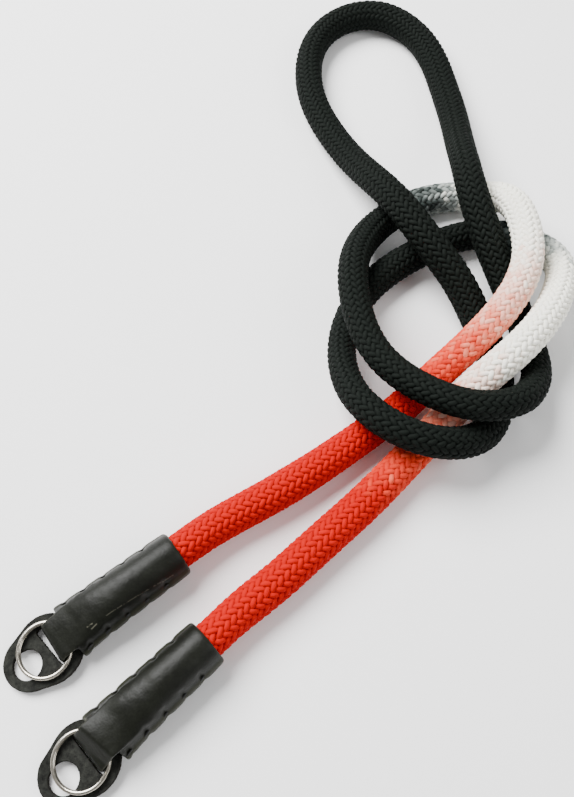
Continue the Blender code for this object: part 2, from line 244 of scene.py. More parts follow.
lift = np.maximum(0, outer_radius(centre_along) - centreline[:, 2])
centreline[:, 2] += lift
print("most lift", round(float(lift.max()) / MM, 2), "mm")

# %% [markdown]
# ## The braid
#
# A round braid is plaited by bobbins that circle the rope both ways. Sixteen
# strands wind to the left and sixteen to the right, and each goes over two
# and under two of the others. That makes the herringbone of plump bars that
# the photo shows. A bump map would leave the outline smooth, so every strand
# is a real tube: a curve with a bevel, whose distance from the rope's axis
# rises and falls as it passes over and under.

# %% Strand sizes
# The waves are cut off flat at the top, so that a bar stays up for most of its length.
STRANDS_EACH_WAY = 16
BAR_SPACING = 2.15 * MM
STRAND_WIDTH = 1.62 * MM
STRAND_THICKNESS = 1.25 * MM
OVER_UNDER = 0.5 * MM
WAVE_FULLNESS = 1.25
SAMPLES_PER_WAVE = 7
STRAND_SIDES = 6

PITCH = STRANDS_EACH_WAY * BAR_SPACING
WAVE = 4 * PITCH / (2 * STRANDS_EACH_WAY)
print("one full turn of a strand takes", round(PITCH / MM, 1), "mm of rope")

# %% Where one strand runs


def centre_at(values, distance):
    """A row of points or directions along the rope, read at the given distances."""
    return np.stack([np.interp(distance, centre_along, values[:, axis]) for axis in range(3)], axis=1)


def around_rope(angle, distance):
    """Unit directions out from the rope's axis."""
    side = centre_at(centre_side, distance)
    up = centre_at(centre_up, distance)
    out = side * np.cos(angle)[:, None] + up * np.sin(angle)[:, None]
    return out / np.linalg.norm(out, axis=1)[:, None]


def strand_line(way, number):
    """A strand's points, and for each the way out, the distance along and the depth in the braid.

    Round the rope there are two columns for each strand of one way, and a wave is four of them.
    """
    count = int(ROPE_LENGTH / (WAVE / SAMPLES_PER_WAVE)) + 1
    distance = np.linspace(0, ROPE_LENGTH, count)
    angle = 2 * math.pi * (number / STRANDS_EACH_WAY + way * distance / PITCH)
    column = angle * STRANDS_EACH_WAY / math.pi
    wave = np.clip(WAVE_FULLNESS * way * np.cos(math.pi / 2 * (column - 0.5)), -1, 1)
    middle = outer_radius(distance) - OVER_UNDER - STRAND_THICKNESS / 2
    out = around_rope(angle, distance)
    reach = middle + OVER_UNDER * wave
    depth = outer_radius(distance) - reach
    return centre_at(centreline, distance) + out * reach[:, None], out, distance, depth


bar_length = math.hypot(WAVE / 2, math.pi * ROPE_DIAMETER / STRANDS_EACH_WAY)
print("a bar is about", round(bar_length / MM, 1), "mm long")

# %% [markdown]
# A curve's bevel is round, and a soft strand that is pressed into a braid is
# wider than it is thick. Each ring of the finished tube is therefore pressed
# towards the rope's axis. Each point also learns how far along the rope it
# is, which strand it belongs to and where it lies on the strand, because the
# dye and the fibres follow the strands and not the space around them. How deep
# it has sunk into the braid is kept too, for the painted shade in the gaps, since little light gets down
# there.

# %% Tubes from lines of points


def shown_mesh(source):
    """The mesh that a new object shows, after which the object goes."""
    bpy.context.scene.collection.objects.link(source)
    graph = bpy.context.evaluated_depsgraph_get()
    mesh = bpy.data.meshes.new_from_object(source.evaluated_get(graph))
    bpy.data.objects.remove(source, do_unlink=True)
    return mesh


def tube_mesh(name, lines, radius, sides):
    """A mesh of open tubes, one for each line of points."""
    data = bpy.data.curves.new(name, "CURVE")
    data.dimensions = "3D"
    data.bevel_depth = radius
    data.bevel_resolution = (sides - 4) // 2
    for points in lines:
        spline = data.splines.new("POLY")
        spline.points.add(len(points) - 1)
        padded = np.concatenate([points, np.ones((len(points), 1))], axis=1)
        spline.points.foreach_set("co", padded.ravel())
    mesh = shown_mesh(bpy.data.objects.new(name, data))
    mesh.materials.clear()
    return mesh


def read_vertices(mesh, field="co"):
    """Each vertex's place or normal, as rows of an array."""
    values = np.zeros(len(mesh.vertices) * 3)
    mesh.vertices.foreach_get(field, values)
    return values.reshape(-1, 3)


def set_attribute(mesh, name, kind, values):
    """Give each vertex a value for the materials to read."""
    made = mesh.attributes.new(name, kind, "POINT")
    field = "vector" if kind == "FLOAT_VECTOR" else "value"
    made.data.foreach_set(field, np.asarray(values, dtype=np.float32).ravel())


def close_ends(mesh, sides):
    """Cap the open tubes."""
    bm = bmesh.new()
    bm.from_mesh(mesh)
    rims = [edge for edge in bm.edges if edge.is_boundary]
    bmesh.ops.holes_fill(bm, edges=rims, sides=sides)
    bmesh.ops.recalc_face_normals(bm, faces=bm.faces)
    bm.to_mesh(mesh)
    bm.free()


def add_piece(name, mesh, material):
    """Show a mesh as a piece of the strap."""
    mesh.materials.append(material)
    mesh.shade_smooth()
    made = bpy.data.objects.new(name, mesh)
    bpy.context.scene.collection.objects.link(made)
    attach(made, "root")
    return made


print("strands:", 2 * STRANDS_EACH_WAY)

# %% One bundle of strands
GAP_DEPTH = 1.7 * MM


def make_bundle(name, members, material):
    """A few strands as one piece, pressed flat, with what the dye has to know."""
    lines = [strand_line(way, number) for way, number in members]
    mesh = tube_mesh(name, [line[0] for line in lines], STRAND_WIDTH / 2, STRAND_SIDES)
    centres = np.repeat(np.concatenate([line[0] for line in lines]), STRAND_SIDES, axis=0)
    out = np.repeat(np.concatenate([line[1] for line in lines]), STRAND_SIDES, axis=0)
    along = np.repeat(np.concatenate([line[2] for line in lines]), STRAND_SIDES)
    depth = np.repeat(np.concatenate([line[3] for line in lines]), STRAND_SIDES)
    offset = read_vertices(mesh) - centres
    outward = np.sum(offset * out, axis=1)
    squeeze = 1 - STRAND_THICKNESS / STRAND_WIDTH
    pressed = centres + offset - (outward * squeeze)[:, None] * out
    mesh.vertices.foreach_set("co", pressed.ravel())
    across = np.linalg.norm(offset - outward[:, None] * out, axis=1)
    pressed_out = outward * (1 - squeeze)
    number = np.repeat([way * (member + 1) for way, member in members], len(lines[0][0]) * STRAND_SIDES)
    set_attribute(mesh, "dye_place", "FLOAT", along / ROPE_LENGTH)
    set_attribute(mesh, "strand_number", "FLOAT", number)
    set_attribute(mesh, "fibre", "FLOAT_VECTOR", np.stack([along, across, outward], axis=1) / MM)
    set_attribute(mesh, "sunk", "FLOAT", (depth - pressed_out) / GAP_DEPTH)
    close_ends(mesh, STRAND_SIDES)
    return add_piece(name, mesh, material)


# %% [markdown]
# ## The rope's dye
#
# One colour ramp holds the dye from end to end: red at both ends, then pink
# and cream, a short grey fade and a long stretch of greenish black. Cotton
# takes dye unevenly, so noise along each strand shifts its place in the ramp,
# and single bars near the fades come out pinker or paler than the next ones.

# %% Colour helpers


def linear(red, green, blue):
    """A screen colour of 0 to 255 as Blender's linear colour."""
    out = []
    for value in (red, green, blue):
        share = value / 255
        out.append(share / 12.92 if share <= 0.04045 else ((share + 0.055) / 1.055) ** 2.4)
    return (*out, 1.0)


def new_material(name):
    """A material, its node tree and its Principled shader."""
    made = bpy.data.materials.new(name)
    made.use_nodes = True
    tree = made.node_tree
    return made, tree, tree.nodes["Principled BSDF"]


def add_node(tree, kind, **settings):
    """A new node with its properties set."""
    node = tree.nodes.new(kind)
    for key, value in settings.items():
        setattr(node, key, value)
    return node


def join(tree, socket, value):
    """Link a socket to another node's output, or set its value."""
    if isinstance(value, bpy.types.NodeSocket):
        tree.links.new(value, socket)
    else:
        socket.default_value = value


def feed(tree, node, **values):
    """Set or link inputs by name, with underscores for spaces."""
    for key, value in values.items():
        join(tree, node.inputs[key.replace("_", " ")], value)


def calculate(tree, operation, first, second=0.0, third=0.0):
    """A number from a Math node."""
    node = add_node(tree, "ShaderNodeMath", operation=operation)
    for socket, value in zip(node.inputs, (first, second, third)):
        join(tree, socket, value)
    return node.outputs[0]


def combine(tree, operation, first, second, output=0):
    """A vector made from two others, or a number with output 1."""
    node = add_node(tree, "ShaderNodeVectorMath", operation=operation)
    for socket, value in zip(node.inputs, (first, second)):
        join(tree, socket, value)
    return node.outputs[output]


def attribute(tree, name, output="Fac"):
    """What the mesh keeps at each vertex under a name."""
    return add_node(tree, "ShaderNodeAttribute", attribute_name=name).outputs[output]


def noise_at(tree, vector, **settings):
    """The value of a noise, with its inputs by name."""
    node = add_node(tree, "ShaderNodeTexNoise")
    feed(tree, node, Vector=vector, **settings)
    return node.outputs[0]


def remap(tree, value, from_range, to_range, interpolation="LINEAR"):
    """A value carried from one range to another and held at its ends."""
    node = add_node(tree, "ShaderNodeMapRange", interpolation_type=interpolation)
    feed(tree, node, Value=value, From_Min=from_range[0], From_Max=from_range[1],
         To_Min=to_range[0], To_Max=to_range[1])
    return node.outputs[0]


def bumped(tree, height, strength, distance):
    """A normal that follows a height."""
    node = add_node(tree, "ShaderNodeBump")
    feed(tree, node, Height=height, Strength=strength, Distance=distance)
    return node.outputs[0]


print("middle grey in linear light:", round(linear(128, 128, 128)[0], 3))

# %% The dye along the rope
RED = linear(176, 6, 2)
ORANGE = linear(214, 62, 40)
SALMON = linear(230, 128, 102)
PINK = linear(240, 196, 178)
CREAM = linear(250, 248, 236)
PALE_GREY = linear(160, 166, 162)
SLATE = linear(62, 69, 67)
BLACK = linear(16, 20, 17)

DYE = [
    # (distance along the rope in millimetres, colour)
    (92, RED), (108, ORANGE), (119, SALMON), (133, PINK), (150, CREAM), (184, CREAM), (193, PALE_GREY),
    (203, SLATE), (214, BLACK), (836, BLACK), (846, SLATE), (856, PALE_GREY), (870, CREAM),
    (908, CREAM), (920, PINK), (932, SALMON), (944, ORANGE), (962, RED),
]
print("dye stops:", len(DYE))

# %% Dyed cotton
# Painted shade in the gaps of the braid, where little light reaches: a dark dye is darkened more there, a
# pale one less.
DEEP_LIGHT = 0.45
DEEP_GAMMA = 1.6
GAP_SHADE = (0.1, 0.9)
PATCH_SHIFT = 0.022
SPECK_SHIFT = 0.03
NOISE_BETWEEN_STRANDS = 7.3
FIBRE_STRETCH = (0.6, 5.0, 5.0)
FIBRE_CONTRAST = 0.36
FIBRE_DARKEST = 0.8
FIBRE_RELIEF = 0.15 * MM


def round_zero(tree, value, reach):
    """A value of 0 to 1 as a shift both ways."""
    return calculate(tree, "MULTIPLY_ADD", value, reach, -reach / 2)


def dye_ramp(tree):
    """The colours of the rope from end to end."""
    ramp = add_node(tree, "ShaderNodeValToRGB")
    stops = ramp.color_ramp.elements
    stops[0].position, stops[0].color = DYE[0][0] * MM / ROPE_LENGTH, DYE[0][1]
    stops[1].position, stops[1].color = DYE[-1][0] * MM / ROPE_LENGTH, DYE[-1][1]
    for distance, colour in DYE[1:-1]:
        stops.new(distance * MM / ROPE_LENGTH).color = colour
    return ramp


def dye_material(name, darker, bump):
    """Dyed cotton braid, with painted shade in its gaps. The core between the strands is the same cotton,
    painted darker as shade.
    """
    made, tree, shader = new_material(name)
    place, sunk = attribute(tree, "dye_place"), attribute(tree, "sunk")
    strand = add_node(tree, "ShaderNodeCombineXYZ")
    feed(tree, strand, X=calculate(tree, "MULTIPLY", place, ROPE_LENGTH / MM),
         Y=calculate(tree, "MULTIPLY", attribute(tree, "strand_number"), NOISE_BETWEEN_STRANDS))
    patches = noise_at(tree, strand.outputs[0], Scale=0.09, Detail=2.0, Roughness=0.6)
    specks = noise_at(tree, strand.outputs[0], Scale=0.42, Detail=1.0)
    shift = calculate(tree, "ADD", round_zero(tree, patches, PATCH_SHIFT),
                      round_zero(tree, specks, SPECK_SHIFT))
    ramp = dye_ramp(tree)
    feed(tree, ramp, Fac=calculate(tree, "ADD", place, shift))
    # Painted shade: deeper in the braid, the colour is raised to a higher power and so darkened.
    gap_shaded_colour = add_node(tree, "ShaderNodeGamma")
    feed(tree, gap_shaded_colour, Color=ramp.outputs[0],
         Gamma=remap(tree, sunk, GAP_SHADE, (1.0, DEEP_GAMMA), "SMOOTHSTEP"))
    stretched = combine(tree, "MULTIPLY", attribute(tree, "fibre", "Vector"), FIBRE_STRETCH)
    threads = noise_at(tree, stretched, Scale=1.0, Detail=3.0, Roughness=0.7)
    level = calculate(tree, "MULTIPLY_ADD", threads, FIBRE_CONTRAST, FIBRE_DARKEST - darker)
    # Painted shade: the colour is dimmed where the strand lies deep in the braid.
    lit = remap(tree, sunk, GAP_SHADE, (1.0, DEEP_LIGHT), "SMOOTHSTEP")
    shade = add_node(tree, "ShaderNodeVectorMath", operation="SCALE")
    feed(tree, shade, Vector=gap_shaded_colour.outputs[0], Scale=calculate(tree, "MULTIPLY", level, lit))
    feed(tree, shader, Base_Color=shade.outputs[0], Normal=bumped(tree, threads, bump, FIBRE_RELIEF))
    shader.inputs["Roughness"].default_value = 0.72
    shader.inputs["Specular IOR Level"].default_value = 0.06
    return made


braid_cotton = dye_material("braid_cotton", darker=0.0, bump=0.6)
# The core gets more painted shade, as it lies under the strands: the same cotton, made darker.
core_cotton = dye_material("core_cotton", darker=0.35, bump=0.2)
print("cotton:", braid_cotton.name, "and", core_cotton.name)

# %% [markdown]
# ## Braid the rope
#
# The thirty-two strands are four bundles, so that no single mesh grows too
# heavy. A plain core fills the middle, as a real rope's core yarns do, and
# stops light from shining between the strands.

# %% Strands
STRANDS_PER_PIECE = 8

members = [(way, number) for way in (1, -1) for number in range(STRANDS_EACH_WAY)]
for start in range(0, len(members), STRANDS_PER_PIECE):
    name = f"strands_{start // STRANDS_PER_PIECE + 1}"
    make_bundle(name, members[start:start + STRANDS_PER_PIECE], braid_cotton)

# %% Core
CORE_SIDES = 12
CORE_STEP = 4
CORE_PLAY = 0.1 * MM

# The tube starts with a radius of 1 mm, and each of its rings is then scaled.
core_points = centreline[::CORE_STEP]
core_along = centre_along[::CORE_STEP]
core_mesh = tube_mesh("rope_core", [core_points], MM, CORE_SIDES)
places = read_vertices(core_mesh)
core_centres = np.repeat(core_points, CORE_SIDES, axis=0)
core_depth = OVER_UNDER + STRAND_THICKNESS / 2 + CORE_PLAY
core_radius = np.repeat(outer_radius(core_along) - core_depth, CORE_SIDES)
core_places = core_centres + (places - core_centres) * (core_radius / MM)[:, None]
core_mesh.vertices.foreach_set("co", core_places.ravel())
set_attribute(core_mesh, "dye_place", "FLOAT", np.repeat(core_along / ROPE_LENGTH, CORE_SIDES))
set_attribute(core_mesh, "strand_number", "FLOAT", np.zeros(len(core_mesh.vertices)))
set_attribute(core_mesh, "fibre", "FLOAT_VECTOR", places / MM)
set_attribute(core_mesh, "sunk", "FLOAT", np.ones(len(core_mesh.vertices)))
close_ends(core_mesh, CORE_SIDES)
rope_core = add_piece("rope_core", core_mesh, core_cotton)
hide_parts("rope")
end_point("1", 0, ROPE_AXIS)
print("core faces:", len(core_mesh.polygons))

# %% [markdown]
# ## The leather ends
#
# Each end is one strip of leather, folded round the rope and stitched along
# both sides, so a flat rim stands out on the left and on the right. At the
# shoulder the strip narrows to a tab that bends down through the pad's slot.
# The tube is made from one circle that is extruded ring by ring, from deep in
# the bore, round the lip and on to the shoulder. Each new ring is shaped by
# how far the leather reaches at each angle: the longer of bulge and rim.

# %% Sizes of a leather end, in millimetres
LEATHER = 1.2
BORE = 4.85
BORE_DEPTH = 16.3
MIDDLE = 6.25
SLEEVE_LENGTH = 32.0
FOLD = 37.0
RIM_HALF_THICKNESS = 1.15
RIM_SQUARENESS = 6
BULGE_TO_RIM = 7

LIP = [
    # (distance from the mouth, radius)
    (0.4, BORE), (0.0, BORE + 0.25), (0.0, 5.3),
]

SLEEVE_ROWS = [
    # (distance from the mouth, half height, its middle, squareness,
    #  half bulge and rim on the far side, half bulge and rim on the near side)
    (0.3, 5.85, 6.2, 2.0, 5.5, 5.55, 5.5, 5.55), (1.2, 6.0, 6.2, 2.0, 5.6, 5.7, 5.6, 5.7),
    (3.5, 6.1, 6.2, 2.0, 5.65, 5.8, 5.7, 5.85), (8, 6.15, 6.2, 2.0, 5.6, 5.85, 5.75, 6.0),
    (15, 6.1, 6.15, 2.1, 5.6, 5.9, 5.85, 6.15), (20, 5.8, 5.85, 2.2, 5.75, 6.1, 6.0, 6.3),
    (24, 5.3, 5.35, 2.5, 5.9, 6.3, 6.0, 6.35), (28, 4.6, 4.65, 2.9, 6.1, 6.5, 6.05, 6.45),
    (31.2, 3.6, 3.9, 3.6, 6.3, 7.0, 6.3, 7.0), (32, 3.3, 3.8, 3.6, 6.2, 6.9, 6.2, 6.95),
]
SECTION_MIDDLE, FAR_RIM, NEAR_RIM = 2, 5, 7
print("leather end:", FOLD, "mm to its fold")

# %% The sleeve's closed shell
TUBE_SIDES = 96


def reach(angle, row):
    """How far the leather goes from the middle of its section, at an angle."""
    _, height, _, squareness, *sides = row
    width, rim = sides[2:] if math.cos(angle) > 0 else sides[:2]
    across, upward = abs(math.cos(angle)), abs(math.sin(angle))
    bulge = ((across / width) ** squareness + (upward / height) ** squareness) ** (-1 / squareness)
    flange = ((across / rim) ** RIM_SQUARENESS
              + (upward / RIM_HALF_THICKNESS) ** RIM_SQUARENESS) ** (-1 / RIM_SQUARENESS)
    return (bulge ** BULGE_TO_RIM + flange ** BULGE_TO_RIM) ** (1 / BULGE_TO_RIM)


def next_ring(bm, ring, along, middle, radius_at):
    """Extrude a ring of edges and shape the new ring round its middle."""
    old_middle = sum(vert.co.z for edge in ring for vert in edge.verts) / (2 * len(ring))
    made = bmesh.ops.extrude_edge_only(bm, edges=ring)["geom"]
    for vert in [item for item in made if isinstance(item, bmesh.types.BMVert)]:
        angle = math.atan2(vert.co.z - old_middle, vert.co.y)
        radius = radius_at(angle)
        vert.co = (along, radius * math.cos(angle), middle + radius * math.sin(angle))
    return [item for item in made if isinstance(item, bmesh.types.BMEdge)]


def sleeve_tube(mouth):
    """The closed shell of the sleeve, with its bore."""
    bm = bmesh.new()
    upright = Matrix.Translation((mouth + BORE_DEPTH, 0, MIDDLE)) @ Matrix.Rotation(math.radians(90), 4, "Y")
    bmesh.ops.create_circle(bm, cap_ends=True, segments=TUBE_SIDES, radius=BORE, matrix=upright)
    ring = bm.edges[:]
    for inside, radius in LIP:
        ring = next_ring(bm, ring, mouth + inside, MIDDLE, lambda angle: radius)
    for row in SLEEVE_ROWS:
        along = mouth + row[0] * (SLEEVE_LENGTH - mouth) / SLEEVE_LENGTH
        ring = next_ring(bm, ring, along, row[2], lambda angle: reach(angle, row))
    bmesh.ops.contextual_create(bm, geom=ring)
    bmesh.ops.recalc_face_normals(bm, faces=bm.faces)
    return bm


print("sections:", len(SLEEVE_ROWS))

# %% [markdown]
# The tab is a single edge, drawn along its path over the ring, down through
# the slot and back under the pad. A Solidify modifier gives it the leather's
# thickness. A voxel remesh then melts tube and tab into one skin with soft
# corners, as in leather that was wetted and folded.

# %% The tab
TAB_WIDTH = 10.2
TAB_POINTS_ACROSS = 9
TAB_BEND = FOLD - 1
LOWER_LAYER = 3.0
TAB_CROWN = 1.3
TAB_CROWN_FADE = 9.0
TAB_PATHS = {
    # end: points of the tab from the side, in millimetres along and up
    "1": [(21, 9.9), (25, 9.4), (28, 8.5), (31, 7.4), (33.5, 6.4), (35.2, 5.8), (36.1, 5.2), (36.4, 4.2),
          (36.4, 2.0), (36.05, 1.1), (35.2, 0.7), (31, 0.7), (24, 0.75)],
    "2": [(21, 9.9), (25, 9.5), (28, 9.0), (31, 8.6), (33.0, 8.4), (33.5, 7.9), (35.1, 6.1), (36.2, 4.9),
          (36.4, 4.2), (36.4, 2.0), (36.05, 1.1), (35.2, 0.7), (31, 0.7), (24, 0.75)],
}


def mesh_from(bm, name):
    """A new mesh with what a bmesh holds."""
    mesh = bpy.data.meshes.new(name)
    bm.to_mesh(mesh)
    bm.free()
    return mesh


def finished(bm, name, kind, **settings):
    """A mesh from a bmesh, after one modifier."""
    source = bpy.data.objects.new(name, mesh_from(bm, name))
    modifier = source.modifiers.new(kind, kind)
    for key, value in settings.items():
        setattr(modifier, key, value)
    return shown_mesh(source)


def tab_strip(path):
    """The tab as a strip of leather along its path."""
    bm = bmesh.new()
    along, up = path[0]
    row = [bm.verts.new((along, share * TAB_WIDTH / 2, up))
           for share in np.linspace(-1, 1, TAB_POINTS_ACROSS)]
    edges = [bm.edges.new(pair) for pair in zip(row, row[1:])]
    for before, (along, up) in zip(path, path[1:]):
        made = bmesh.ops.extrude_edge_only(bm, edges=edges)["geom"]
        verts = [item for item in made if isinstance(item, bmesh.types.BMVert)]
        edges = [item for item in made if isinstance(item, bmesh.types.BMEdge)]
        bmesh.ops.translate(bm, verts=verts, vec=(along - before[0], 0, up - before[1]))
    for vert in bm.verts:
        if vert.co.z > LOWER_LAYER:
            flat = min(1, max(0, (TAB_BEND - vert.co.x) / TAB_CROWN_FADE))
            vert.co.z -= TAB_CROWN * flat * (2 * vert.co.y / TAB_WIDTH) ** 2
    return finished(bm, "tab", "SOLIDIFY", thickness=LEATHER, offset=0.0)


print("points along the tab:", len(TAB_PATHS["1"]), "and", len(TAB_PATHS["2"]))

# %% One skin for tube and tab
VOXEL = 0.34
SOFTENING = 5
SHOULDER_SKEW = {"1": 0.3, "2": 1.2}
SKEW_START = 18.0
SHOULDER_HALF_WIDTH = 7


def leather_skin(end):
    """Tube and tab as one mesh, in millimetres along the end's own axis."""
    bm = sleeve_tube(END_PLACES[end][3] / MM)
    bm.from_mesh(tab_strip(TAB_PATHS[end]))
    mesh = finished(bm, "skin", "REMESH", mode="VOXEL", voxel_size=VOXEL)
    bm = bmesh.new()
    bm.from_mesh(mesh)
    for vert in bm.verts:
        share = min(1, max(0, (vert.co.x - SKEW_START) / (SLEEVE_LENGTH - SKEW_START)))
        vert.co.x -= SHOULDER_SKEW[end] * share * vert.co.y / SHOULDER_HALF_WIDTH * (TAB_BEND > vert.co.x)
    for _ in range(SOFTENING):
        bmesh.ops.smooth_vert(bm, verts=bm.verts, factor=0.5,
                              use_axis_x=True, use_axis_y=True, use_axis_z=True)
    bm.to_mesh(mesh)
    bm.free()
    return mesh


# %% [markdown]
# Hand stitching pulls the two layers together, so the rim is pinched at every
# stitch and puffs up between them. The vertices near each stitch move in
# towards the rim's middle. Slow noise adds the small hollows of handled
# leather, and the same pass marks the raw edge, where wear shows as grey.

# %% Pinch the leather at the stitches
STITCHES = [7.0, 12.6, 18.2, 23.8, 29.2]
STITCH_REACH = 0.8
PINCH = {"1": 0.2, "2": 0.26}
PINCH_FLATTENS = 0.35
PINCH_INSIDE_RIM = 1.5
PINCH_FADE = 1.1
SHOULDER_END = SLEEVE_LENGTH + 0.3


def fade(values, start, width):
    """0 up to a start, and from there up to 1 over a width."""
    return np.clip((values - start) / width, 0, 1)


def sleeve_size(along, column):
    """One column of the sleeve's rows, read at a distance from the mouth."""
    rows = np.array(SLEEVE_ROWS)
    return np.interp(along, rows[:, 0], rows[:, column])


def rim_at(along, sideways):
    """How far the rim stands out, on the side where a point lies."""
    return np.where(sideways > 0, sleeve_size(along, NEAR_RIM), sleeve_size(along, FAR_RIM))


def pinch_leather(places, end):
    """Move the points near each stitch in towards the rim's middle."""
    along, aside = places[:, 0], np.abs(places[:, 1])
    pinch = np.zeros(len(places))
    for stitch in STITCHES:
        pinch = np.maximum(pinch, np.exp(-((along - stitch) / STITCH_REACH) ** 2))
    pinch *= fade(aside - rim_at(along, places[:, 1]), -PINCH_INSIDE_RIM, PINCH_FADE) * (along < SHOULDER_END)
    places[:, 1] -= np.sign(places[:, 1]) * pinch * PINCH[end]
    places[:, 2] += (sleeve_size(along, SECTION_MIDDLE) - places[:, 2]) * pinch * PINCH_FLATTENS


print("stitches along a rim:", len(STITCHES))

# %% Hollow and mark the leather
HOLLOW_DEPTH = 0.1
BROAD_HOLLOWS = 0.22
SMALL_HOLLOWS = 0.7
SMALL_SHARE = 0.4
HOLLOWS_FROM_MOUTH = 1.5
HOLLOWS_FADE = 3
HOLLOWS_END = 34
LOWEST = 0.02
WORN_RIM = 0.5
WORN_LIP = 0.7
LIP_WEAR = 0.6
TAB_EDGE = 4.75
TAB_EDGE_FADE = 0.4


def work_leather(mesh, end):
    """Pinch and hollow an end's skin, and mark where its edges are worn."""
    mouth = END_PLACES[end][3] / MM
    places = read_vertices(mesh)
    along, aside = places[:, 0], np.abs(places[:, 1])
    rim = rim_at(along, places[:, 1])
    in_sleeve = along < SHOULDER_END
    pinch_leather(places, end)
    hollow = np.array([noise.noise(Vector(place) * BROAD_HOLLOWS)
                       + SMALL_SHARE * noise.noise(Vector(place) * SMALL_HOLLOWS) for place in places])
    outside = fade(along - mouth, HOLLOWS_FROM_MOUTH, HOLLOWS_FADE) * (along < HOLLOWS_END)
    places += read_vertices(mesh, "normal") * (hollow * HOLLOW_DEPTH * outside)[:, None]
    places[:, 2] = np.maximum(places[:, 2], LOWEST)
    mesh.vertices.foreach_set("co", places.ravel())
    worn = fade(aside - rim, -WORN_RIM, WORN_RIM) * in_sleeve
    lip = 1 - fade(along - mouth, 0, WORN_LIP)
    tab_edge = fade(aside, TAB_EDGE, TAB_EDGE_FADE) * (along > SHOULDER_END)
    set_attribute(mesh, "worn", "FLOAT", np.maximum(np.maximum(worn, lip * LIP_WEAR), tab_edge))


def end_matrix(end):
    """From millimetres along an end's axis to metres in the frame."""
    _, _, direction, trimmed = END_PLACES[end]
    place = Matrix.Translation(end_point(end, -trimmed, 0))
    return place @ Matrix.Rotation(math.radians(direction), 4, "Z") @ Matrix.Scale(MM, 4)


sleeve_meshes = {}
for end in END_PLACES:
    sleeve_meshes[end] = leather_skin(end)
    work_leather(sleeve_meshes[end], end)
    sleeve_meshes[end].transform(end_matrix(end))
    print("leather end", end, len(sleeve_meshes[end].polygons), "faces")

# %% [markdown]
# ## Stitches
#
# Each stitch is a short waxed thread that dives into the leather at both
# ends. One is drawn as a bent line of points with a bevel, and the same
# drawing is placed along both rims.

# %% Thread
THREAD_RADIUS = 0.24
THREAD_SIDES = 8
THREAD_FROM_RIM = 0.15
THREAD_UP = 0.72 * RIM_HALF_THICKNESS
PINCH_AT_THREAD = 0.6
SLANT = 0.2
STITCH_SHAPE = [(-1.2, -0.5), (-0.95, 0.0), (-0.4, 0.16), (0.4, 0.16), (0.95, 0.0), (1.2, -0.5)]


def stitch_lines(end):
    """Every stitch of an end, as lines of points in millimetres along its axis."""
    lines = []
    for side, column in ((-1, FAR_RIM), (1, NEAR_RIM)):
        for stitch in STITCHES:
            rim = sleeve_size(stitch, column) - PINCH[end] * PINCH_AT_THREAD - THREAD_FROM_RIM
            top = sleeve_size(stitch, SECTION_MIDDLE) + THREAD_UP
            lines.append(np.array([
                (stitch + along, side * (rim + SLANT * along), top + lift)
                for along, lift in STITCH_SHAPE
            ]))
    return lines


print("stitches on both ends:", sum(len(stitch_lines(end)) for end in END_PLACES))

# %% [markdown]
# ## Lug pads
#
# A pad is an egg-shaped plate of thick leather, punched with a round hole for
# the camera's lug and a slot for the tab. It keeps the hard edge of a cut but
# its face is the rough flesh side. The outline is two arcs, each spun from one
# point, and one fill closes the face round the holes.

# %% Pad sizes
GAP = 0.3
PAD_THICKNESS = 1.4
ROOT_RADIUS = 8.5
TIP_RADIUS = 6.9
ROOT_ALONG = FOLD + 0.8
PAD_REAR = 31.4
PAD_TIP = PAD_REAR + 18.2
HOLE_RADIUS = 3.6
HOLE_ALONG = FOLD + 6.9
SLOT_REAR = FOLD - LEATHER - 0.5
SLOT_FRONT = {"1": FOLD + 0.9, "2": FOLD + 0.3}
SLOT_SLANT = {"1": 0.75, "2": 0.0}
SLOT_HALF_WIDTH = TAB_WIDTH / 2 + GAP
SLOT_CORNER = 0.7
REAR_LIFT = 1.6
PAD_TILT = math.atan(REAR_LIFT / (PAD_TIP - SLOT_REAR))
RING_BASE = PAD_THICKNESS + GAP
RING_ALONG = FOLD + 1.5
print("pad tilt", round(math.degrees(PAD_TILT), 1), "degrees")

# %% Pad outline and plate
ROOT_STEPS = 16
TIP_STEPS = 40
HOLE_SIDES = 48
PAD_VOXEL = 0.22


def on_plate(along):
    """The plate's own coordinate, from its tip."""
    return (along - PAD_TIP) / math.cos(PAD_TILT)


def spun_arc(bm, centre, radius, start, stop, steps):
    """An arc of edges, made by spinning one point, and its first and last points."""
    first = bm.verts.new((centre + radius * math.cos(start), radius * math.sin(start), 0))
    made = bmesh.ops.spin(bm, geom=[first], cent=(centre, 0, 0), axis=(0, 0, 1), dvec=(0, 0, 0),
                          angle=stop - start, steps=steps, use_duplicate=False)
    return first, made["geom_last"][0]


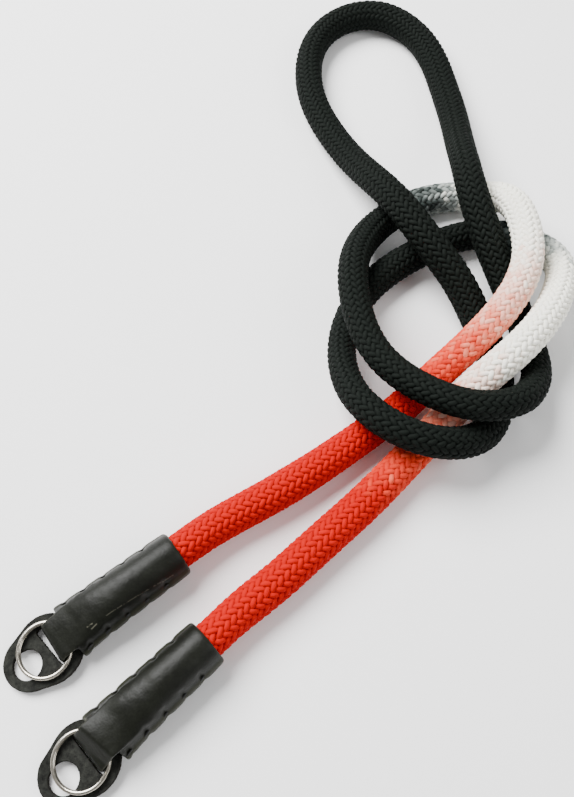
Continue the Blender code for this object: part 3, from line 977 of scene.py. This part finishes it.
def pad_plate(end):
    """A pad as a level plate, with its tip at zero."""
    bm = bmesh.new()
    root, tip = on_plate(ROOT_ALONG), -TIP_RADIUS
    lean = math.asin((ROOT_RADIUS - TIP_RADIUS) / (tip - root))
    cut = math.pi - math.acos((root - on_plate(PAD_REAR)) / ROOT_RADIUS)
    top = math.pi / 2 - lean
    arcs = [spun_arc(bm, root, ROOT_RADIUS, cut, top, ROOT_STEPS),
            spun_arc(bm, tip, TIP_RADIUS, top, -top, TIP_STEPS),
            spun_arc(bm, root, ROOT_RADIUS, -top, -cut, ROOT_STEPS)]
    for (_, last), (first, _) in zip(arcs, arcs[1:] + arcs[:1]):
        bm.edges.new((last, first))
    place = Matrix.Translation((on_plate(HOLE_ALONG), 0, 0))
    bmesh.ops.create_circle(bm, segments=HOLE_SIDES, radius=HOLE_RADIUS, matrix=place)
    rear, front = on_plate(SLOT_REAR), on_plate(SLOT_FRONT[end])
    slot = bmesh.ops.create_circle(bm, segments=4, radius=math.sqrt(0.5),
                                   matrix=Matrix.Rotation(math.radians(45), 4, "Z"))["verts"]
    bmesh.ops.scale(bm, verts=slot, vec=(front - rear, 2 * SLOT_HALF_WIDTH, 1))
    bmesh.ops.translate(bm, verts=slot, vec=((front + rear) / 2, 0, 0))
    for vert in slot:
        vert.co.x -= SLOT_SLANT[end] * vert.co.y / SLOT_HALF_WIDTH * (vert.co.x > (front + rear) / 2)
    bmesh.ops.bevel(bm, geom=slot, offset=SLOT_CORNER, segments=4, profile=0.5,
                    affect="VERTICES", material=-1)
    bmesh.ops.triangle_fill(bm, edges=bm.edges[:], use_beauty=True, use_dissolve=False)
    solid = bmesh.ops.extrude_face_region(bm, geom=bm.faces[:])["geom"]
    top_verts = [item for item in solid if isinstance(item, bmesh.types.BMVert)]
    bmesh.ops.translate(bm, verts=top_verts, vec=(0, 0, PAD_THICKNESS))
    bmesh.ops.recalc_face_normals(bm, faces=bm.faces)
    return finished(bm, "pad", "REMESH", mode="VOXEL", voxel_size=PAD_VOXEL)


print("pad length", round(PAD_TIP - PAD_REAR, 1), "mm")

# %% [markdown]
# Split hide is fuzzy, so the faces get a fine real roughness. Outside the ring
# the rim of the pad curls up a little. The cut edge is marked for a browner
# colour: that is where the dye did not soak through.

# %% Roughen the pads
FUZZ_DEPTH = 0.05
BROAD_FUZZ = 1.7
FINE_FUZZ = 4.1
FINE_SHARE = 0.6
CURL_FROM_RING = 7.2
CURL_FADE = 2.5
CURL_HEIGHT = 0.5
CURL_UNEVEN = 0.5
CURL_WAVES = 0.4
FACE_FROM = 0.35
FACE_FADE = 0.5
NOISE_PLACE = {"1": 0.0, "2": 9.0}


def work_pad(mesh, shift):
    """Roughen a pad, curl its rim and mark its cut edge. The shift makes the two pads unlike."""
    places, normals = read_vertices(mesh), read_vertices(mesh, "normal")
    from_ring = np.hypot(places[:, 0] - on_plate(RING_ALONG), places[:, 1])
    curl = fade(from_ring, CURL_FROM_RING, CURL_FADE)
    fuzz = np.array([noise.noise(Vector(place) * BROAD_FUZZ + Vector((shift, 0, 0)))
                     + FINE_SHARE * noise.noise(Vector(place) * FINE_FUZZ) for place in places])
    edge = 1 - fade(np.abs(normals[:, 2]), FACE_FROM, FACE_FADE)
    places += normals * (fuzz * FUZZ_DEPTH)[:, None]
    waves = 1 + CURL_UNEVEN * np.sin(places[:, 0] * CURL_WAVES + shift)
    places[:, 2] += curl ** 2 * CURL_HEIGHT * waves
    places[:, 2] = np.maximum(places[:, 2], 0.0)
    mesh.vertices.foreach_set("co", places.ravel())
    set_attribute(mesh, "cut_edge", "FLOAT", edge)


def plate_matrix(end):
    """From a pad's own millimetres, level and from its tip, to the frame."""
    return end_matrix(end) @ Matrix.Translation((PAD_TIP, 0, 0)) @ Matrix.Rotation(PAD_TILT, 4, "Y")


pad_meshes = {}
for end, shift in NOISE_PLACE.items():
    pad_meshes[end] = pad_plate(end)
    work_pad(pad_meshes[end], shift)
    pad_meshes[end].transform(plate_matrix(end))
    print("pad", end, len(pad_meshes[end].polygons), "faces")

# %% [markdown]
# ## Split rings
#
# A split ring is one steel wire wound twice. A rounded section is spun almost
# once round level, lifted by one wire over a short ramp and spun round again.
# Spin with an offset along its axis makes the ramp.

# %% Wind the wire
RING_RADIUS = 7.0
WIRE_WIDTH = 0.96
WIRE_HEIGHT = 0.68
WIRE_RISE = 0.7
LEVEL_TURN = math.radians(338)
RAMP_TURN = math.radians(44)
WIRE_SIDES = 12
LEVEL_STEPS = 60
RAMP_STEPS = 10
WIRE_STARTS = {"1": 2.4, "2": 2.0}


def split_ring(start):
    """Two turns of wire that begin at an angle."""
    bm = bmesh.new()
    middle = Matrix.Translation((RING_RADIUS - WIRE_WIDTH / 2, 0, WIRE_HEIGHT / 2))
    wire = bmesh.ops.create_circle(bm, cap_ends=True, segments=WIRE_SIDES, radius=0.5,
                                   matrix=middle @ Matrix.Rotation(math.radians(90), 4, "X"))["verts"]
    bmesh.ops.scale(bm, verts=wire, vec=(WIRE_WIDTH, 1, WIRE_HEIGHT), space=middle.inverted())
    section = bm.faces[:]
    level, ramp = (LEVEL_TURN, 0, LEVEL_STEPS), (RAMP_TURN, WIRE_RISE, RAMP_STEPS)
    for turn, rise, steps in (level, ramp, level):
        made = bmesh.ops.spin(bm, geom=section, cent=(0, 0, 0), axis=(0, 0, 1), dvec=(0, 0, rise / steps),
                              angle=turn, steps=steps, use_duplicate=False)
        section = [item for item in made["geom_last"] if isinstance(item, bmesh.types.BMFace)]
    bmesh.ops.recalc_face_normals(bm, faces=bm.faces)
    bmesh.ops.rotate(bm, verts=bm.verts, cent=(0, 0, 0), matrix=Matrix.Rotation(start, 3, "Z"))
    return mesh_from(bm, "split_ring")


ring_meshes = {}
for end, start in WIRE_STARTS.items():
    ring_meshes[end] = split_ring(start)
    ring_meshes[end].transform(plate_matrix(end) @ Matrix.Translation((on_plate(RING_ALONG), 0, RING_BASE)))
    print("ring", end, len(ring_meshes[end].polygons), "faces")

# %% [markdown]
# ## Leather, thread and steel
#
# Leather grain is the same effect on the smooth sleeves and on the rough pads,
# only at another size and depth. It is built once as a node group that puts
# out a height and a patchiness, and each material uses it with its own values.

# %% A node group for grain
def new_group(name, inputs, outputs):
    """A node group, the sockets that its inputs feed and the sockets that it puts out."""
    group = bpy.data.node_groups.new(name, "ShaderNodeTree")
    for label, kind, value in inputs:
        socket = group.interface.new_socket(name=label, in_out="INPUT", socket_type=kind)
        if value is not None:
            socket.default_value = value
    for label, kind in outputs:
        group.interface.new_socket(name=label, in_out="OUTPUT", socket_type=kind)
    return group, add_node(group, "NodeGroupInput").outputs, add_node(group, "NodeGroupOutput").inputs


grain_group, grain_in, grain_out = new_group(
    "leather_grain",
    [("Vector", "NodeSocketVector", None), ("Grains", "NodeSocketFloat", 2200.0),
     ("Patches", "NodeSocketFloat", 180.0), ("Fuzz", "NodeSocketFloat", 0.3)],
    [("Height", "NodeSocketFloat"), ("Patchiness", "NodeSocketFloat")])
wobble = noise_at(grain_group, grain_in["Vector"], Scale=grain_in["Grains"], Detail=3.0)
cells = add_node(grain_group, "ShaderNodeTexVoronoi", feature="F1")
feed(grain_group, cells, Vector=grain_in["Vector"], Scale=grain_in["Grains"], Randomness=1.0)
pebble = calculate(grain_group, "SUBTRACT", 1.0, cells.outputs["Distance"])
fuzzy = calculate(grain_group, "MULTIPLY", wobble, grain_in["Fuzz"])
smooth_share = calculate(grain_group, "SUBTRACT", 1.0, grain_in["Fuzz"])
smooth = calculate(grain_group, "MULTIPLY", pebble, smooth_share)
join(grain_group, grain_out["Height"], calculate(grain_group, "ADD", fuzzy, smooth))
blotch = noise_at(grain_group, grain_in["Vector"], Scale=grain_in["Patches"], Detail=4.0, Roughness=0.6)
join(grain_group, grain_out["Patchiness"], blotch)
print("group", grain_group.name)

# %% [markdown]
# One leather end has a few pale scuffs: two short scratches near the shoulder
# and a faint broken line down its side. Each is drawn by how far a point lies
# from a straight run, seen from above, and noise breaks it into flecks.

# %% A node group for a scuff
FROM_ABOVE = (1, 1, 0)
FULL_WITHIN = 0.3
FLECKS_PER_METRE = 1500.0
FLECK_RANGE = (0.4, 0.55)

scuff_group, scuff_in, scuff_out = new_group(
    "scuff_line",
    [("Vector", "NodeSocketVector", None), ("Start", "NodeSocketVector", None),
     ("Run", "NodeSocketVector", None), ("Half Width", "NodeSocketFloat", 0.0002)],
    [("Mask", "NodeSocketFloat")])
offset = combine(scuff_group, "SUBTRACT", scuff_in["Vector"], scuff_in["Start"])
from_start = combine(scuff_group, "MULTIPLY", offset, FROM_ABOVE)
along_run = combine(scuff_group, "DOT_PRODUCT", from_start, scuff_in["Run"], 1)
run_square = combine(scuff_group, "DOT_PRODUCT", scuff_in["Run"], scuff_in["Run"], 1)
run_share = calculate(scuff_group, "DIVIDE", along_run, run_square)
run_share.node.use_clamp = True
nearest = add_node(scuff_group, "ShaderNodeVectorMath", operation="SCALE")
feed(scuff_group, nearest, Vector=scuff_in["Run"], Scale=run_share)
away = combine(scuff_group, "DISTANCE", from_start, nearest.outputs[0], 1)
share_away = calculate(scuff_group, "DIVIDE", away, scuff_in["Half Width"])
line_mask = remap(scuff_group, share_away, (FULL_WITHIN, 1.0), (1.0, 0.0))
flecks = noise_at(scuff_group, scuff_in["Vector"], Scale=FLECKS_PER_METRE, Detail=1.0)
broken = remap(scuff_group, flecks, FLECK_RANGE, (0.0, 1.0))
join(scuff_group, scuff_out["Mask"], calculate(scuff_group, "MULTIPLY", line_mask, broken))
print("group", scuff_group.name)

# %% Where the scuffs are
SCUFFS = [
    # (where it starts along and aside, where it stops along and aside, half width, strength)
    (22.7, 3.8, 4.2, 5.0, 0.16, 0.22), (27.4, 3.1, 25.3, 3.3, 0.2, 0.45), (27.4, 4.1, 25.3, 3.9, 0.2, 0.4),
]
SCUFF_COLOUR = linear(120, 118, 104)
print("scuffs:", len(SCUFFS))

# %% Colour from a value, and over another
def object_place(tree):
    """Where a point is. The pieces sit at the origin, so this is their place in the frame."""
    return add_node(tree, "ShaderNodeTexCoord").outputs["Object"]


def two_tone(tree, value, low, high):
    """A colour between two, each given with the value that it belongs to."""
    ramp = add_node(tree, "ShaderNodeValToRGB")
    for stop, (place, colour) in zip(ramp.color_ramp.elements, (low, high)):
        stop.position, stop.color = place, colour
    feed(tree, ramp, Fac=value)
    return ramp.outputs[0]


def laid_over(tree, share, under, over):
    """A colour laid over another. A Mix node takes colours at its sockets 6 and 7."""
    mixed = add_node(tree, "ShaderNodeMix", data_type="RGBA")
    for number, value in ((0, share), (6, under), (7, over)):
        join(tree, mixed.inputs[number], value)
    return mixed.outputs[2]


def scuffed(tree, colour, scuffs):
    """A colour with pale scuffs on it, at their places on leather end 1."""
    for along, aside, far_along, far_aside, half_width, strength in scuffs:
        start = end_matrix("1") @ Vector((along, aside, 0))
        stop = end_matrix("1") @ Vector((far_along, far_aside, 0))
        scuff = add_node(tree, "ShaderNodeGroup", node_tree=scuff_group)
        feed(tree, scuff, Vector=object_place(tree), Start=start, Run=stop - start,
             Half_Width=half_width * MM)
        share = calculate(tree, "MULTIPLY", scuff.outputs["Mask"], strength)
        colour = laid_over(tree, share, colour, SCUFF_COLOUR)
    return colour


print("scuff width", round(2 * SCUFFS[0][4], 2), "mm")

# %% Leather materials
GRAIN_PART = 0.35
PATCH_PART = 0.65
DARK_AT = 0.3
LIGHT_AT = 0.72
DULL_AT = 0.7
GRAIN_BUMP = 0.5


def leather_material(name, dark, light, edge, edge_mark, scuffs, grains, patches, fuzz, depth,
                     gloss, dull, specular):
    """Dyed leather: patchy colour, a worn or cut edge, and grain in roughness and bump."""
    made, tree, shader = new_material(name)
    grain = add_node(tree, "ShaderNodeGroup", node_tree=grain_group)
    feed(tree, grain, Vector=object_place(tree), Grains=grains, Patches=patches, Fuzz=fuzz)
    patchy = calculate(tree, "MULTIPLY", grain.outputs["Patchiness"], PATCH_PART)
    both = calculate(tree, "MULTIPLY_ADD", grain.outputs["Height"], GRAIN_PART, patchy)
    face = two_tone(tree, both, (DARK_AT, dark), (LIGHT_AT, light))
    with_edge = laid_over(tree, attribute(tree, edge_mark), face, edge)
    feed(tree, shader, Base_Color=scuffed(tree, with_edge, scuffs),
         Roughness=remap(tree, both, (DARK_AT, DULL_AT), (gloss, dull)),
         Normal=bumped(tree, grain.outputs["Height"], GRAIN_BUMP, depth))
    shader.inputs["Specular IOR Level"].default_value = specular
    return made


sleeve_leather = leather_material(
    "sleeve_leather", dark=linear(8, 9, 5), light=linear(18, 20, 13), edge=linear(42, 43, 33),
    edge_mark="worn", scuffs=SCUFFS, grains=1900.0, patches=160.0, fuzz=0.35, depth=0.06 * MM,
    gloss=0.4, dull=0.52, specular=0.17)
pad_leather = leather_material(
    "pad_leather", dark=linear(4, 4, 4), light=linear(50, 51, 47), edge=linear(22, 18, 13),
    edge_mark="cut_edge",
    scuffs=[], grains=3600.0, patches=700.0, fuzz=0.8, depth=0.25 * MM, gloss=0.8, dull=0.95, specular=0.12)
print("leather:", sleeve_leather.name, "and", pad_leather.name)

# %% Waxed thread
waxed_thread, thread_tree, thread_shader = new_material("waxed_thread")
thread_twist = noise_at(thread_tree, object_place(thread_tree), Scale=4000.0, Detail=2.0)
feed(thread_tree, thread_shader, Normal=bumped(thread_tree, thread_twist, 0.4, 0.05 * MM))
thread_shader.inputs["Base Color"].default_value = linear(9, 9, 8)
thread_shader.inputs["Roughness"].default_value = 0.6
print("thread:", waxed_thread.name)

# %% [markdown]
# The rings are nickel-plated steel. Rubbing on a camera's lugs leaves fine
# scratches, so colour and roughness are a little uneven.

# %% Steel
ring_steel, steel_tree, steel_shader = new_material("ring_steel")
scratches = noise_at(steel_tree, object_place(steel_tree), Scale=900.0, Detail=5.0, Roughness=0.7)
feed(steel_tree, steel_shader,
     Base_Color=two_tone(steel_tree, scratches, (0.35, linear(158, 152, 140)), (0.65, linear(182, 177, 166))),
     Roughness=calculate(steel_tree, "MULTIPLY_ADD", scratches, 0.08, 0.16))
steel_shader.inputs["Metallic"].default_value = 1.0
print("materials:", len(bpy.data.materials))

# %% Show the leather ends, pads and rings
SHARP_ANGLE = math.radians(60)

for end in END_PLACES:
    sleeve = add_piece(f"sleeve_{end}", sleeve_meshes[end], sleeve_leather)
    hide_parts(f"leather_sleeve_{end}")
    threads = tube_mesh(f"stitches_{end}", stitch_lines(end), THREAD_RADIUS, THREAD_SIDES)
    close_ends(threads, THREAD_SIDES)
    threads.transform(end_matrix(end))
    add_piece(f"stitches_{end}", threads, waxed_thread)
    pad = add_piece(f"pad_{end}", pad_meshes[end], pad_leather)
    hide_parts(f"lug_pad_{end}")
    ring = add_piece(f"ring_{end}", ring_meshes[end], ring_steel)
    ring.data.set_sharp_from_angle(angle=SHARP_ANGLE)
    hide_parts(f"split_ring_{end}")
    print("end", end, "has", sleeve.name, pad.name, "and", ring.name)

# %% [markdown]
# ## Table and light
#
# The photo is a cut-out on white with soft light from the upper left. A pale
# table, a bright sky, a large soft lamp and a faint one across from it give the
# same gentle shading.

# %% Floor
FLOOR_SIZE = 3.0
bm = bmesh.new()
bmesh.ops.create_grid(bm, x_segments=1, y_segments=1, size=FLOOR_SIZE / 2)
floor_mesh = mesh_from(bm, "floor")
floor_material, _, floor_shader = new_material("floor")
floor_shader.inputs["Base Color"].default_value = linear(252, 252, 252)
floor_shader.inputs["Roughness"].default_value = 0.9
floor_mesh.materials.append(floor_material)
floor = bpy.data.objects.new("floor", floor_mesh)
bpy.context.scene.collection.objects.link(floor)
print("floor", FLOOR_SIZE, "m wide")

# %% Sky and lamps
SKY = 0.5
LIT_PLACE = Vector((0.05, 0.08, 0))
world = bpy.data.worlds.new("sky")
world.use_nodes = True
world.node_tree.nodes["Background"].inputs["Color"].default_value = (1, 1, 1, 1)
world.node_tree.nodes["Background"].inputs["Strength"].default_value = SKY
bpy.context.scene.world = world


def soft_lamp(name, place, size, power):
    """A round lamp that looks at the strap."""
    data = bpy.data.lights.new(name, "AREA")
    data.shape = "DISK"
    data.size = size
    data.energy = power
    lamp = bpy.data.objects.new(name, data)
    lamp.location = place
    lamp.rotation_euler = (LIT_PLACE - Vector(place)).to_track_quat("-Z", "Y").to_euler()
    bpy.context.scene.collection.objects.link(lamp)


soft_lamp("key", place=(-0.4, 0.45, 0.7), size=0.7, power=29)
soft_lamp("fill", place=(0.6, -0.1, 0.5), size=0.5, power=2.5)
print("sky", SKY)
